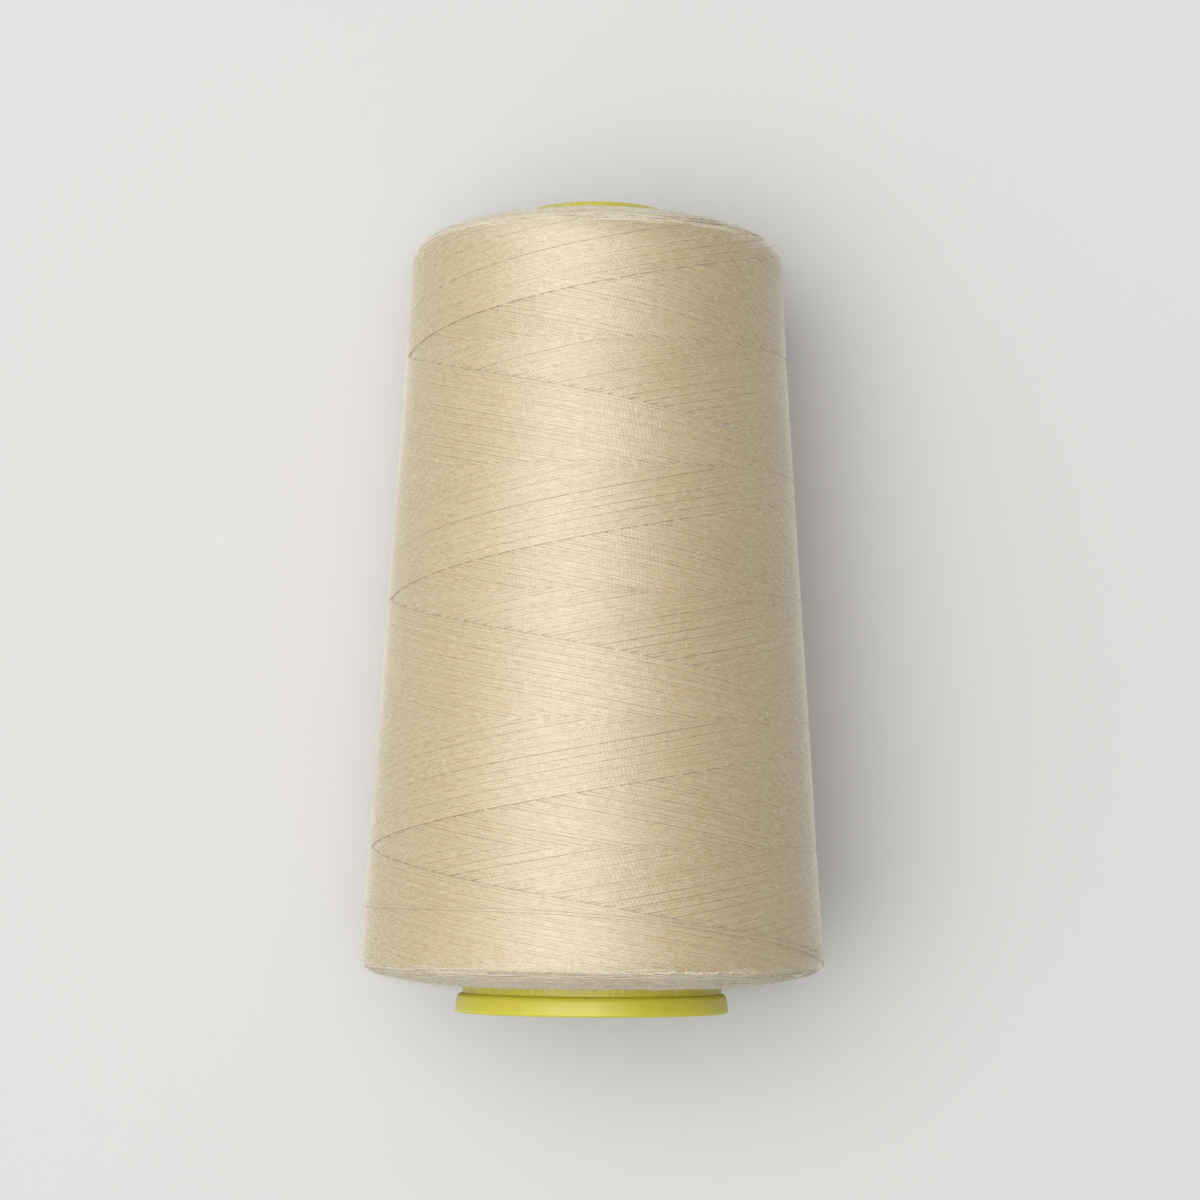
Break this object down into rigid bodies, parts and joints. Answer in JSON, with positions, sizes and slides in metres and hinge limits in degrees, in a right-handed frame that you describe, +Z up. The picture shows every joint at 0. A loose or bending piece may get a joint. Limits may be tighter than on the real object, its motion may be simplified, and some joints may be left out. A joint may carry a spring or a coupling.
{
  "type": "cone of sewing thread on a plastic cone",
  "caption": "Tapering package of cream sewing thread, cross-wound on an open translucent plastic cone with a foot flange, lying on its side.",
  "frame": {"origin": "on the table, under the middle of the part, which lies on its side", "axes": "+Z up, +Y from the base of the cone to its nose, +X to the right when looking from the base to the nose"},
  "size_m": [0.0716, 0.1268, 0.0713],
  "materials": {
    "thread": "matte spun thread with a soft fuzz",
    "cone_plastic": "satin, slightly translucent"
  },
  "bodies": {
    "root": {"thread_package": "thread", "plastic_cone": "cone_plastic"}
  },
  "joints": []
}
